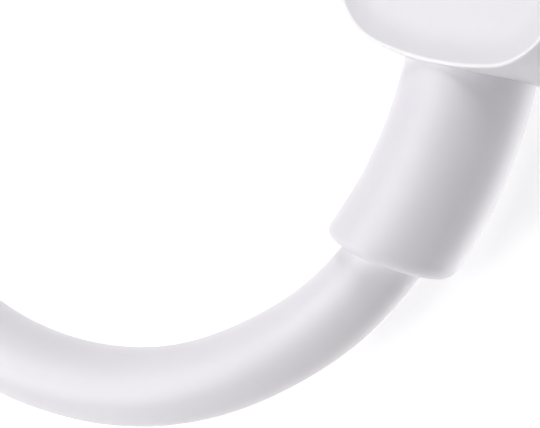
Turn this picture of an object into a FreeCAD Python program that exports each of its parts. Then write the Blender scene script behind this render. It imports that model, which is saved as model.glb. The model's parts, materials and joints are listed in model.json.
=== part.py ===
import FreeCAD, Part
import math
import os
import Sketcher

# A charging cable: two slim reversible plugs on one soft round cord.
# The near plug lies flat with its tip towards +Y and its underside at z = 0.
# Its cord leaves at -Y, bends towards -X and runs to a neat coil, where the far plug lies.
# Each plug is drawn in its own frame: tip towards +Y, the back of its housing at y = 0, mid height at z = 0.

Vector = FreeCAD.Vector

# Sizes in millimetres, except the angle and the counts.
SIZES = {
    "housing_width": 12.0,
    "housing_thickness": 6.4,
    "housing_length": 20.0,
    "housing_wall": 0.9,
    "face_wall": 0.9,
    "rear_wall": 1.6,
    "rear_bow_radius": 15.2,
    "rear_corner_radius": 3.8,
    "front_corner_radius": 2.0,
    "edge_radius": 0.3,
    "rim_width": 0.45,
    "dish_slope_width": 0.75,
    "dish_depth": 0.16,
    "front_recess": 0.35,
    "fit_gap": 0.05,
    "tight_gap": 0.03,
    "sleeve_diameter": 5.8,
    "sleeve_length": 9.1,
    "sleeve_seat": 0.45,
    "sleeve_round": 0.4,
    "near_bend_radius": 20.0,
    "far_bend_radius": 60.0,
    "neck_diameter": 4.5,
    "collar_width": 7.2,
    "collar_length": 1.2,
    "cord_diameter": 3.5,
    "cord_core": 2.3,
    "lead_inside": 5.0,
    "shell_width": 8.25,
    "shell_height": 2.4,
    "shell_reach": 6.65,
    "shell_wall": 0.25,
    "shell_hold": 7.4,
    "shell_lip_radius": 0.1,
    "carrier_hold": 7.1,
    "carrier_setback": 0.4,
    "slot_width": 6.9,
    "slot_height": 0.85,
    "slot_depth": 6.0,
    "groove_width": 0.3,
    "groove_height": 0.68,
    "groove_lip": 0.45,
    "contact_width": 0.22,
    "contact_thickness": 0.12,
    "contact_pitch": 0.5,
    "contact_tail": 1.3,
    "latch_thickness": 0.14,
    "latch_height": 0.5,
    "latch_bar": 0.9,
    "latch_setback": 0.6,
    "latch_hook": 0.3,
    "spring_width": 5.6,
    "spring_length": 4.2,
    "spring_thickness": 0.1,
    "spring_setback": 0.8,
    "spring_slit": 0.25,
    "board_margin": 0.7,
    "board_length": 5.9,
    "board_thickness": 0.7,
    "chip_length": 1.0,
    "chip_width": 0.5,
    "chip_bevel": 0.05,
    "mould_skin": 0.4,
    "can_wall": 0.2,
    "can_rear": 5.2,
    "can_lap": 1.2,
    "crimp_length": 1.6,
    "wire_diameter": 0.66,
    "wire_pad": 1.2,
    "coil_radius": 27.1,
    "coil_layer_turns": 3,
    "coil_gap": 0.5,
    "coil_x": -61.2,
    "coil_y": -5.3,
    "far_x": -30.4,
    "far_y": 20.4,
    "far_turn": -90.0,
}

# The numbered places of a reversible plug that carry a contact, counted along each row of twelve.
ROW_PLACES = 12
UPPER_PLACES = (1, 4, 5, 6, 7, 9, 12)
LOWER_PLACES = (1, 4, 5, 9, 12)

# Where a contact leaves its groove and where its crown lies, as shares of the slot's depth.
BEND_SHARE = 0.5
CROWN_SHARE = 0.78

# The fingers of a ground spring, and the share of its length that the slits between them take up.
SPRING_FINGERS = 3
SLIT_SHARE = 0.6

# A wire's name, its start in the cord's core and its pad on the board, as shares of the core and the board.
# The side is +1 on the board's upper face and -1 on its lower face.
WIRES = (
    ("wire_power", -0.78, -0.34, 1),
    ("wire_config", 0.0, 0.0, 1),
    ("wire_ground", 0.78, 0.34, 1),
    ("wire_data_plus", -0.42, -0.2, -1),
    ("wire_data_minus", 0.42, 0.2, -1),
)

# A bent sleeve is pulled askew, so its mouth turns by only this share of its bend.
MOUTH_TURN_SHARE = 0.35

# How far off the middle of the core a wire starts, in wire diameters.
WIRE_LIFT = 0.6

# The share of the shorter run that each arc of a cord's route takes up.
ARC_SHARE = 0.45

# The sides of the faceted tubes that stand for the round cord and for the wires in the plugs.
CORD_SIDES = 12
WIRE_SIDES = 6

# How far a cut runs past the face that it opens.
OVERCUT = 1.0

# Two places closer than this are the same.
NEAR = 1e-4

doc = FreeCAD.newDocument("ChargingCable")
sheet = doc.addObject("Spreadsheet::Sheet", "Sizes")
for row, (alias, value) in enumerate(SIZES.items(), 1):
    sheet.set(f"A{row}", alias)
    sheet.set(f"B{row}", str(value))
    sheet.setAlias(f"B{row}", alias)
doc.recompute()


class Size:
    """A size of the sheet, or a sum or multiple of sizes, as a number and as the expression that gives it."""

    def __init__(self, number, text):
        self.number = number
        self.text = text

    def __add__(self, other):
        other = size(other)
        return Size(self.number + other.number, f"({self.text} + {other.text})")

    def __sub__(self, other):
        other = size(other)
        return Size(self.number - other.number, f"({self.text} - {other.text})")

    def __mul__(self, factor):
        return Size(self.number * factor, f"({self.text} * {factor})")

    def __truediv__(self, factor):
        return Size(self.number / factor, f"({self.text} / {factor})")

    def __neg__(self):
        return Size(-self.number, f"(-{self.text})")


def size(value):
    """The sheet's size of this alias, or a plain number, as a Size."""
    if isinstance(value, Size):
        return value
    if isinstance(value, str):
        return Size(float(sheet.get(value)), f"Sizes.{value}")
    return Size(float(value), f"({value})")


def number(value):
    return size(value).number


def bind(thing, name, value):
    thing.setExpression(name, size(value).text)


# Places along a plug, measured from the back of its housing.
LENGTH = size("housing_length")
TIP = LENGTH + "shell_reach"
SHELL_REAR = LENGTH - "shell_hold"
CARRIER_REAR = LENGTH - "carrier_hold"
CARRIER_FRONT = TIP - "carrier_setback"
SLOT_END = CARRIER_FRONT - "slot_depth"
LATCH_REAR = SLOT_END - "latch_bar" - size("tight_gap") * 2
HOOK_FRONT = CARRIER_FRONT - "groove_lip" - "latch_setback"
SPRING_FRONT = CARRIER_FRONT - "spring_setback"
CAN_FRONT = SHELL_REAR + "can_lap"
BOARD_FRONT = CARRIER_REAR - "fit_gap"
BOARD_REAR = BOARD_FRONT - "board_length"
COLLAR_FRONT = size("rear_wall") + "collar_length"
MID_HEIGHT = size("housing_thickness") / 2
CAVITY_WIDTH = size("housing_width") - size("housing_wall") * 2
CAVITY_HEIGHT = size("housing_thickness") - size("face_wall") * 2
CAN_INSET = size("mould_skin") + size("fit_gap") * 2
CAN_WIDTH = CAVITY_WIDTH - CAN_INSET * 2
CAN_HEIGHT = CAVITY_HEIGHT - CAN_INSET * 2
BOARD_WIDTH = CAN_WIDTH - (size("can_wall") + "board_margin") * 2
SHELL_BORE_WIDTH = size("shell_width") - size("shell_wall") * 2
SHELL_BORE_HEIGHT = size("shell_height") - size("shell_wall") * 2
CARRIER_WIDTH = SHELL_BORE_WIDTH - size("tight_gap") * 2
CARRIER_HEIGHT = SHELL_BORE_HEIGHT - size("tight_gap") * 2
BORE_DIAMETER = size("cord_diameter") + size("tight_gap") * 2
CORD_ACROSS = size("cord_diameter") / math.cos(math.pi / CORD_SIDES)


# Sketches

def new_body(name, placement):
    body = doc.addObject("PartDesign::Body", name)
    body.Label = name
    body.Placement = placement
    return body


def new_sketch(body, name, role, offset=None):
    """A sketch on one of the body's own planes, moved along the plane's normal."""
    plane = next(f for f in body.Origin.OriginFeatures if f.Role == role)
    sketch = body.newObject("Sketcher::SketchObject", f"{body.Name}_{name}")
    sketch.AttachmentSupport = (plane, [""])
    sketch.MapMode = "FlatFace"
    if offset is not None:
        bind(sketch, "AttachmentOffset.Base.z", offset)
    return sketch


def cross_sketch(body, name, y):
    """A sketch across the plug at this place along it: its x is the plug's X, its y the plug's Z."""
    return new_sketch(body, name, "XZ_Plane", -size(y))


def rule(sketch, kind, *where, value=None):
    """Adds a constraint, and binds it to the sheet when it has a size."""
    if value is None:
        sketch.addConstraint(Sketcher.Constraint(kind, *where))
        return
    value = size(value)
    index = sketch.addConstraint(Sketcher.Constraint(kind, *where, value.number))
    bind(sketch, f"Constraints[{index}]", value)


def place(sketch, geometry, point, x, y):
    """Holds a point of the geometry at this place from the sketch's origin."""
    for kind, value in (("DistanceX", size(x)), ("DistanceY", size(y))):
        if value.number == 0 and "Sizes" not in value.text:
            axis = -2 if kind == "DistanceX" else -1
            rule(sketch, "PointOnObject", geometry, point, axis)
        else:
            rule(sketch, kind, -1, 1, geometry, point, value=value)


def draw_circle(sketch, diameter):
    """A circle about the origin."""
    diameter = size(diameter)
    index = sketch.addGeometry(Part.Circle(Vector(), Vector(0, 0, 1), diameter.number / 2))
    rule(sketch, "Diameter", index, value=diameter)
    rule(sketch, "Coincident", index, 3, -1, 1)


def draw_box(sketch, left, right, bottom, top):
    """A rectangle between these four places."""
    left, right, bottom, top = (size(v) for v in (left, right, bottom, top))
    corners = [
        Vector(left.number, bottom.number, 0),
        Vector(right.number, bottom.number, 0),
        Vector(right.number, top.number, 0),
        Vector(left.number, top.number, 0),
    ]
    first = sketch.GeometryCount
    for start, end in zip(corners, corners[1:] + corners[:1]):
        sketch.addGeometry(Part.LineSegment(start, end))
    for side in range(4):
        rule(sketch, "Coincident", first + side, 2, first + (side + 1) % 4, 1)
        rule(sketch, "Vertical" if side % 2 else "Horizontal", first + side)
    place(sketch, first, 1, left, bottom)
    place(sketch, first + 2, 1, right, top)


def draw_obround(sketch, width, height):
    """A slot shape about the origin: two level lines and two round ends."""
    width, height = size(width), size(height)
    radius = height.number / 2
    reach = width.number / 2 - radius
    first = sketch.GeometryCount
    up = Vector(0, 0, 1)
    right_end = Part.Circle(Vector(reach, 0, 0), up, radius)
    left_end = Part.Circle(Vector(-reach, 0, 0), up, radius)
    sketch.addGeometry(Part.LineSegment(Vector(-reach, -radius, 0), Vector(reach, -radius, 0)))
    sketch.addGeometry(Part.ArcOfCircle(right_end, -math.pi / 2, math.pi / 2))
    sketch.addGeometry(Part.LineSegment(Vector(reach, radius, 0), Vector(-reach, radius, 0)))
    sketch.addGeometry(Part.ArcOfCircle(left_end, math.pi / 2, math.pi * 3 / 2))
    for side in range(4):
        rule(sketch, "Tangent", first + side, 2, first + (side + 1) % 4, 1)
    rule(sketch, "Horizontal", first)
    rule(sketch, "Symmetric", first + 1, 3, first + 3, 3, -1, 1)
    rule(sketch, "DistanceY", first, 2, first + 2, 1, value=height)
    rule(sketch, "DistanceX", first + 3, 3, first + 1, 3, value=width - height)


def draw_plan(sketch, inset, rear, front):
    """The housing's outline from above, drawn in by this inset all round.

    A wide bow closes the back, a large corner joins it to each side, and the front is straight
    between two small corners.
    """
    inset, rear, front = size(inset), size(rear), size(front)
    half = (size("housing_width") / 2 - inset).number
    bow = size("rear_bow_radius") - inset
    corner = size("rear_corner_radius") - inset
    front_corner = size("front_corner_radius") - inset
    bow_centre = Vector(0, rear.number + bow.number, 0)
    across = half - corner.number
    between = bow.number - corner.number
    corner_y = bow_centre.y - math.sqrt(between**2 - across**2)
    slant = math.atan2(corner_y - bow_centre.y, across)
    near_front = front.number - front_corner.number
    across_front = half - front_corner.number
    up = Vector(0, 0, 1)

    def arc(x, y, radius, start, end):
        return Part.ArcOfCircle(Part.Circle(Vector(x, y, 0), up, radius), start, end)

    def line(x0, y0, x1, y1):
        return Part.LineSegment(Vector(x0, y0, 0), Vector(x1, y1, 0))

    pi = math.pi
    for piece in (
        arc(0, bow_centre.y, bow.number, -pi - slant, slant),
        arc(across, corner_y, corner.number, slant, 0),
        line(half, corner_y, half, near_front),
        arc(across_front, near_front, front_corner.number, 0, pi / 2),
        line(across_front, front.number, -across_front, front.number),
        arc(-across_front, near_front, front_corner.number, pi / 2, pi),
        line(-half, near_front, -half, corner_y),
        arc(-across, corner_y, corner.number, pi, pi * 2 - (slant + pi)),
    ):
        sketch.addGeometry(piece)
    for side in range(8):
        rule(sketch, "Tangent", side, 2, (side + 1) % 8, 1)
    rule(sketch, "Vertical", 2)
    rule(sketch, "Horizontal", 4)
    rule(sketch, "Vertical", 6)
    rule(sketch, "PointOnObject", 0, 3, -2)
    rule(sketch, "Symmetric", 2, 2, 6, 1, -2)
    rule(sketch, "Radius", 0, value=bow)
    rule(sketch, "Radius", 1, value=corner)
    rule(sketch, "Equal", 1, 7)
    rule(sketch, "Radius", 3, value=front_corner)
    rule(sketch, "DistanceX", 6, 1, 2, 2, value=size("housing_width") - inset * 2)
    rule(sketch, "DistanceY", -1, 1, 4, 1, value=front)
    rule(sketch, "DistanceY", -1, 1, 0, 3, value=rear + bow)


# Features

def set_feature(feature, sketch, length, middle, forward):
    feature.Profile = sketch
    bind(feature, "Length", length)
    if middle:
        feature.SideType = "Symmetric"
    feature.Reversed = forward
    sketch.Visibility = False


def pad(body, name, sketch, length, middle=False, forward=False):
    """Adds material. A sketch across the plug grows towards the tip when forward is true."""
    feature = body.newObject("PartDesign::Pad", f"{body.Name}_{name}")
    set_feature(feature, sketch, length, middle, forward)
    return feature


def pocket(body, name, sketch, length, middle=False, forward=False):
    """Takes material away, and makes sure that some went."""
    doc.recompute()
    before = body.Shape.Volume
    feature = body.newObject("PartDesign::Pocket", f"{body.Name}_{name}")
    set_feature(feature, sketch, length, middle, not forward)
    doc.recompute()
    if body.Shape.Volume >= before:
        raise ValueError(f"{feature.Name} cuts nothing")
    return feature


def lies_at(edge, axis, place):
    """Whether the whole edge lies at this place along the axis, which is 0 for X, 1 for Y and 2 for Z."""
    return all(abs(point[axis] - place) < NEAR for point in edge.discretize(4))


def round_edges(body, name, radius, chosen):
    """Rounds the edges of the body's last feature that the test chooses."""
    doc.recompute()
    tip = body.Tip
    edges = [f"Edge{i}" for i, edge in enumerate(tip.Shape.Edges, 1) if chosen(edge)]
    if not edges:
        raise ValueError(f"{body.Name} has no edge for {name}")
    feature = body.newObject("PartDesign::Fillet", f"{body.Name}_{name}")
    feature.Base = (tip, edges)
    bind(feature, "Radius", radius)
    return feature


def pipe(body, name, kind, profile, path):
    feature = body.newObject(f"PartDesign::{kind}Pipe", f"{body.Name}_{name}")
    feature.Profile = profile
    feature.Spine = (path, [])
    profile.Visibility = False
    path.Visibility = False
    return feature


def bent_path(body, name, start, bend_radius, beyond=0):
    """The cord's way through a plug: straight back from this place, then an arc through the sleeve.

    The arc runs this far beyond the middle of the sleeve's mouth.
    """
    start, bend = size(start), size(bend_radius)
    reach = size("sleeve_length") + beyond
    turn = reach.number / bend.number
    sketch = new_sketch(body, name, "XY_Plane")
    sketch.addGeometry(Part.LineSegment(Vector(0, start.number, 0), Vector(0, 0, 0)))
    circle = Part.Circle(Vector(-bend.number, 0, 0), Vector(0, 0, 1), bend.number)
    sketch.addGeometry(Part.ArcOfCircle(circle, -turn, 0))
    rule(sketch, "Vertical", 0)
    rule(sketch, "Coincident", 0, 2, -1, 1)
    rule(sketch, "DistanceY", 0, 2, 0, 1, value=start)
    rule(sketch, "Tangent", 1, 2, 0, 2)
    rule(sketch, "Radius", 1, value=bend)
    end_drop = bend.number * math.sin(turn)
    index = sketch.addConstraint(Sketcher.Constraint("DistanceY", 1, 1, -1, 1, end_drop))
    sine = f"sin({reach.text} / {bend.text} * 180deg / pi)"
    sketch.setExpression(f"Constraints[{index}]", f"{bend.text} * {sine}")
    return sketch


def mouth_in_plug(bend_radius):
    """The middle of the sleeve's mouth and the way the cord leaves it, in the plug's own frame."""
    bend = number(bend_radius)
    turn = number("sleeve_length") / bend
    point = Vector(-bend * (1 - math.cos(turn)), -bend * math.sin(turn), 0)
    return point, Vector(-math.sin(turn), -math.cos(turn), 0)


def mouth_facing(bend_radius):
    """The way that the sleeve's slanted mouth faces, in the plug's own frame."""
    turn = number("sleeve_length") / number(bend_radius) * MOUTH_TURN_SHARE
    return Vector(-math.sin(turn), -math.cos(turn), 0)


def draw_past_mouth(sketch, bend_radius):
    """A square seen from above, one side of which is the line of the sleeve's slanted mouth."""
    middle, _ = mouth_in_plug(bend_radius)
    facing = mouth_facing(bend_radius)
    along = Vector(-facing.y, facing.x, 0)
    side = size("sleeve_diameter") * 2
    deep = facing * side.number
    half = along * (side.number / 2)
    corners = [middle - half, middle + half, middle + half + deep, middle - half + deep]
    for start, end in zip(corners, corners[1:] + corners[:1]):
        sketch.addGeometry(Part.LineSegment(start, end))
    for line in range(4):
        rule(sketch, "Coincident", line, 2, (line + 1) % 4, 1)
    for line in range(3):
        rule(sketch, "Perpendicular", line, line + 1)
    rule(sketch, "Equal", 0, 1)
    rule(sketch, "Distance", 0, value=side)
    bend = size(bend_radius)
    turn = f"{size('sleeve_length').text} / {bend.text} * 180deg / pi"
    rule(sketch, "Angle", 0, value=Size(math.atan2(along.y, along.x), f"-({turn} * {MOUTH_TURN_SHARE})"))
    centre = sketch.addGeometry(Part.Point(middle), True)
    rule(sketch, "DistanceX", -1, 1, centre, 1, value=Size(middle.x, f"{bend.text} * (cos({turn}) - 1)"))
    rule(sketch, "DistanceY", -1, 1, centre, 1, value=Size(middle.y, f"-{bend.text} * sin({turn})"))
    rule(sketch, "Symmetric", 0, 1, 0, 2, centre, 1)


# The pieces of one plug

def make_housing(name, placement):
    """The outer cover: a bowed back, a raised rim round each dished face and a cavity open at the front."""
    body = new_body(name, placement)
    thickness = size("housing_thickness")
    plan = new_sketch(body, "plan", "XY_Plane")
    draw_plan(plan, 0, 0, LENGTH)
    pad(body, "block", plan, thickness, middle=True)
    half = MID_HEIGHT.number

    def on_a_face(edge):
        return lies_at(edge, 2, half) or lies_at(edge, 2, -half)

    round_edges(body, "rounded", "edge_radius", on_a_face)
    for side, sign in (("upper", 1), ("lower", -1)):
        rim = size("rim_width")
        outer = new_sketch(body, f"{side}_rim", "XY_Plane", MID_HEIGHT * sign)
        draw_plan(outer, rim, rim, LENGTH - rim)
        floor_inset = rim + "dish_slope_width"
        inner = new_sketch(body, f"{side}_dish", "XY_Plane", (MID_HEIGHT - "dish_depth") * sign)
        draw_plan(inner, floor_inset, floor_inset, LENGTH - floor_inset)
        dish = body.newObject("PartDesign::SubtractiveLoft", f"{body.Name}_{side}_loft")
        dish.Profile = outer
        dish.Sections = [inner]
        dish.Ruled = True
    cavity = new_sketch(body, "cavity", "XY_Plane")
    draw_plan(cavity, "housing_wall", "rear_wall", LENGTH + "front_corner_radius")
    pocket(body, "hollow", cavity, CAVITY_HEIGHT, middle=True)
    collar_room = cross_sketch(body, "collar_room", COLLAR_FRONT)
    half_width = size("collar_width") / 2 + "fit_gap"
    draw_box(collar_room, -half_width, half_width, -(CAVITY_HEIGHT / 2), CAVITY_HEIGHT / 2)
    pocket(body, "collar_seat", collar_room, "collar_length")
    neck = cross_sketch(body, "neck_hole", COLLAR_FRONT)
    draw_circle(neck, size("neck_diameter") + size("tight_gap") * 2)
    pocket(body, "neck_way", neck, COLLAR_FRONT + OVERCUT)
    seat = cross_sketch(body, "seat_ring", "sleeve_seat")
    draw_circle(seat, size("sleeve_diameter") + size("tight_gap") * 2)
    pocket(body, "seat", seat, size("sleeve_seat") + OVERCUT)


def make_mould(name, placement):
    """The inner moulding: it fills the cover, grips the steel shell in front and holds the can behind."""
    body = new_body(name, placement)
    rear = COLLAR_FRONT + "fit_gap"
    front = LENGTH - "front_recess"
    plan = new_sketch(body, "plan", "XY_Plane")
    draw_plan(plan, size("housing_wall") + "fit_gap", rear, front)
    pad(body, "block", plan, CAVITY_HEIGHT - size("fit_gap") * 2, middle=True)
    room = cross_sketch(body, "can_room", CAN_FRONT + "fit_gap")
    half_width = CAN_WIDTH / 2 + "fit_gap"
    half_height = CAN_HEIGHT / 2 + "fit_gap"
    draw_box(room, -half_width, half_width, -half_height, half_height)
    pocket(body, "can_pocket", room, CAN_FRONT - "can_rear" + size("fit_gap") * 2)
    grip = cross_sketch(body, "shell_grip", front + OVERCUT)
    gap = size("tight_gap") * 2
    draw_obround(grip, size("shell_width") + gap, size("shell_height") + gap)
    pocket(body, "shell_way", grip, front + OVERCUT - CAN_FRONT)
    back = cross_sketch(body, "crimp_way", "can_rear")
    draw_circle(back, BORE_DIAMETER + size("can_wall") * 2 + size("tight_gap") * 2)
    pocket(body, "crimp_bore", back, size("can_rear") - COLLAR_FRONT + OVERCUT)


def make_shell(name, placement):
    """The deep-drawn steel shell that plugs in: a slim tube with round ends, open at both ends."""
    body = new_body(name, placement)
    outline = cross_sketch(body, "outline", SHELL_REAR)
    draw_obround(outline, "shell_width", "shell_height")
    pad(body, "tube", outline, TIP - SHELL_REAR, forward=True)
    bore = cross_sketch(body, "bore_outline", TIP + OVERCUT)
    draw_obround(bore, SHELL_BORE_WIDTH, SHELL_BORE_HEIGHT)
    pocket(body, "bore", bore, TIP - SHELL_REAR + OVERCUT * 2)
    outer = number("shell_height") / 2

    def on_outer_lip(edge):
        high = max(abs(point.z) for point in edge.discretize(5))
        return lies_at(edge, 1, TIP.number) and abs(high - outer) < NEAR

    round_edges(body, "lip", "shell_lip_radius", on_outer_lip)


def place_of(contact, lower):
    """Where a numbered place lies across the plug; the lower row counts the other way."""
    offset = size("contact_pitch") * (contact - (ROW_PLACES + 1) / 2)
    return -offset if lower else offset


def make_carrier(name, placement):
    """The insulator inside the shell: a mating slot, a groove for each contact and room for the latch."""
    body = new_body(name, placement)
    outline = cross_sketch(body, "outline", CARRIER_REAR)
    draw_obround(outline, CARRIER_WIDTH, CARRIER_HEIGHT)
    pad(body, "block", outline, CARRIER_FRONT - CARRIER_REAR, forward=True)
    mouth = cross_sketch(body, "mouth", CARRIER_FRONT)
    half_width = size("slot_width") / 2
    half_height = size("slot_height") / 2
    draw_box(mouth, -half_width, half_width, -half_height, half_height)
    pocket(body, "slot", mouth, "slot_depth")
    grooves = cross_sketch(body, "grooves", CARRIER_FRONT - "groove_lip")
    half_groove = size("groove_width") / 2
    reach = size("groove_height")
    inside = size("slot_height") / 2 - "tight_gap"
    for places, lower in ((UPPER_PLACES, False), (LOWER_PLACES, True)):
        for contact in places:
            x = place_of(contact, lower)
            bottom, top = (-reach, -inside) if lower else (inside, reach)
            draw_box(grooves, x - half_groove, x + half_groove, bottom, top)
    pocket(body, "groove_cuts", grooves, CARRIER_FRONT - CARRIER_REAR)
    sides = cross_sketch(body, "latch_ways", CARRIER_FRONT - "groove_lip")
    half_latch = size("latch_height") / 2 + "tight_gap"
    outside = size("shell_width") / 2
    inner = size("slot_width") / 2 + "tight_gap"
    draw_box(sides, inner, outside, -half_latch, half_latch)
    draw_box(sides, -outside, -inner, -half_latch, half_latch)
    way = CARRIER_FRONT - "groove_lip" - LATCH_REAR + "tight_gap"
    pocket(body, "latch_sides", sides, way)
    bar = cross_sketch(body, "bar_way", LATCH_REAR + "latch_bar" + "tight_gap")
    half_bar = size("latch_thickness") / 2 + "tight_gap"
    draw_box(bar, -outside, outside, -half_bar, half_bar)
    pocket(body, "bar_slit", bar, size("latch_bar") + size("tight_gap") * 2)
    window = cross_sketch(body, "hook_way", HOOK_FRONT + "tight_gap")
    draw_box(window, -outside, outside, -half_latch, half_latch)
    pocket(body, "hook_windows", window, size("latch_hook") + size("tight_gap") * 2)
    seats = cross_sketch(body, "spring_seats", SPRING_FRONT + "tight_gap")
    half_spring = size("spring_width") / 2 + "tight_gap"
    top = size("shell_height") / 2
    floor = CARRIER_HEIGHT / 2 - "spring_thickness"
    draw_box(seats, -half_spring, half_spring, floor, top)
    draw_box(seats, -half_spring, half_spring, -top, -floor)
    pocket(body, "spring_rooms", seats, size("spring_length") + size("tight_gap") * 2)


def make_latch(name, placement):
    """The latch plate: a bar behind the mating slot with a spring arm and a hook at each side."""
    body = new_body(name, placement)
    arm_inside = size("slot_width") / 2 + size("tight_gap") * 2
    arm_outside = arm_inside + "latch_thickness"
    half = size("latch_height") / 2
    bar = cross_sketch(body, "bar", LATCH_REAR)
    half_bar = size("latch_thickness") / 2
    draw_box(bar, -arm_outside, arm_outside, -half_bar, half_bar)
    pad(body, "plate", bar, "latch_bar", forward=True)
    arms = cross_sketch(body, "arms", LATCH_REAR)
    draw_box(arms, arm_inside, arm_outside, -half, half)
    draw_box(arms, -arm_outside, -arm_inside, -half, half)
    pad(body, "arm_pair", arms, HOOK_FRONT - LATCH_REAR, forward=True)
    hooks = cross_sketch(body, "hooks", HOOK_FRONT)
    tooth = arm_inside - "latch_thickness" - "tight_gap"
    draw_box(hooks, tooth, arm_outside, -half, half)
    draw_box(hooks, -arm_outside, -tooth, -half, half)
    pad(body, "hook_pair", hooks, "latch_hook")


def make_half_can(name, placement, upper):
    """Half of the folded steel can: a tray over the board, a collar on the shell and a crimp on the cord."""
    body = new_body(name, placement)
    sign = 1 if upper else -1
    half_width = CAN_WIDTH / 2
    half_height = CAN_HEIGHT / 2
    wall = size("can_wall")
    length = CAN_FRONT - "can_rear"

    def band(sketch, left, right, near, far):
        """A rectangle on this half's side, from near to far off the middle."""
        near, far = size(near), size(far)
        if upper:
            draw_box(sketch, left, right, near, far)
        else:
            draw_box(sketch, left, right, -far, -near)

    tray = cross_sketch(body, "tray", "can_rear")
    band(tray, -half_width, half_width, 0, half_height)
    pad(body, "block", tray, length, forward=True)
    hollow = cross_sketch(body, "hollow", CAN_FRONT - wall)
    band(hollow, -(half_width - wall), half_width - wall, -OVERCUT, half_height - wall)
    pocket(body, "room", hollow, length - wall * 2)
    crimp = cross_sketch(body, "crimp", "can_rear")
    draw_circle(crimp, BORE_DIAMETER + wall * 2)
    pad(body, "crimp_tube", crimp, "crimp_length")
    other = cross_sketch(body, "other_half", CAN_FRONT + OVERCUT)
    wide = half_width + OVERCUT
    far = half_height + OVERCUT
    if upper:
        draw_box(other, -wide, wide, -far, 0)
    else:
        draw_box(other, -wide, wide, 0, far)
    pocket(body, "split", other, length + "crimp_length" + OVERCUT * 2)
    collar = cross_sketch(body, "collar", CAN_FRONT + OVERCUT)
    gap = size("tight_gap") * 2
    draw_obround(collar, size("shell_width") + gap, size("shell_height") + gap)
    pocket(body, "shell_notch", collar, size("can_lap") + "fit_gap" + OVERCUT)
    cord = cross_sketch(body, "cord", size("can_rear") + wall + OVERCUT)
    draw_circle(cord, BORE_DIAMETER)
    pocket(body, "cord_notch", cord, wall + "crimp_length" + OVERCUT * 2)


def make_sleeve(name, placement, bend_radius):
    """The soft strain relief: a collar inside the cover, a neck through its back and a bent round sleeve."""
    body = new_body(name, placement)
    past_mouth = size("sleeve_diameter") / 2
    path = bent_path(body, "path", "sleeve_seat", bend_radius, past_mouth)
    ring = cross_sketch(body, "ring", "sleeve_seat")
    draw_circle(ring, "sleeve_diameter")
    pipe(body, "tube", "Additive", ring, path)
    end = new_sketch(body, "end", "XY_Plane")
    draw_past_mouth(end, bend_radius)
    pocket(body, "slanted_mouth", end, size("sleeve_diameter") * 2, middle=True)
    neck = cross_sketch(body, "neck", "sleeve_seat")
    draw_circle(neck, "neck_diameter")
    pad(body, "neck_tube", neck, COLLAR_FRONT - "sleeve_seat", forward=True)
    collar = cross_sketch(body, "collar", size("rear_wall") + "fit_gap")
    half_width = size("collar_width") / 2
    half_height = CAVITY_HEIGHT / 2 - "fit_gap"
    draw_box(collar, -half_width, half_width, -half_height, half_height)
    pad(body, "flange", collar, size("collar_length") - "fit_gap", forward=True)
    mouth, _ = mouth_in_plug(bend_radius)
    facing = mouth_facing(bend_radius)

    def at_the_mouth(edge):
        return all(abs((point - mouth).dot(facing)) < NEAR for point in edge.discretize(5))

    round_edges(body, "mouth_round", "sleeve_round", at_the_mouth)
    bore_start = COLLAR_FRONT + OVERCUT
    bore_path = bent_path(body, "bore_path", bore_start, bend_radius, past_mouth)
    bore = cross_sketch(body, "bore", bore_start)
    draw_circle(bore, CORD_ACROSS + size("tight_gap") * 2)
    pipe(body, "cord_way", "Subtractive", bore, bore_path)


def make_lead(name, placement, bend_radius):
    """The cord inside a plug, from the mouth of the sleeve to its cut end in the crimp."""
    body = new_body(name, placement)
    path = bent_path(body, "path", "lead_inside", bend_radius)
    ring = cross_sketch(body, "ring", "lead_inside")
    draw_circle(ring, "cord_diameter")
    pipe(body, "tube", "Additive", ring, path)


def make_board(name, placement):
    """The circuit board between the wires and the contacts."""
    body = new_body(name, placement)
    plan = cross_sketch(body, "section", BOARD_REAR)
    half_width = BOARD_WIDTH / 2
    half = size("board_thickness") / 2
    draw_box(plan, -half_width, half_width, -half, half)
    pad(body, "sheet", plan, "board_length", forward=True)


# Groups of small separate solids and round tubes along free routes

def new_feature(name, shape, placement=None):
    feature = doc.addObject("Part::Feature", name)
    feature.Label = name
    feature.Shape = shape
    if placement is not None:
        feature.Placement = placement


def make_contacts(name, placement, places, lower):
    """Bent strip contacts: a tail on the board, a straight in its groove and a crown in the mating slot."""
    thick = number("contact_thickness")
    seat = number("board_thickness") / 2
    crown = number("slot_height") / 2 - thick
    high = number("groove_height") - number("tight_gap") - thick
    rear = number(CARRIER_REAR)
    slot_end = number(SLOT_END)
    front = number(CARRIER_FRONT - "groove_lip" - "tight_gap")
    reach = front - slot_end
    ramp = thick * 3
    under = [
        (rear - thick - number("contact_tail"), seat),
        (rear - thick * 2, seat),
        (rear + ramp, high),
        (slot_end + reach * BEND_SHARE, high),
        (slot_end + reach * CROWN_SHARE, crown),
        (front, high),
    ]
    over = [(y, z + thick) for y, z in reversed(under)]
    side = -1 if lower else 1
    outline = [Vector(0, y, z * side) for y, z in under + over]
    face = Part.Face(Part.makePolygon(outline + outline[:1]))
    width = number("contact_width")
    solids = []
    for contact in places:
        strip = face.extrude(Vector(width, 0, 0))
        strip.translate(Vector(number(place_of(contact, lower)) - width / 2, 0, 0))
        solids.append(strip)
    new_feature(name, Part.makeCompound(solids), placement)


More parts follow.
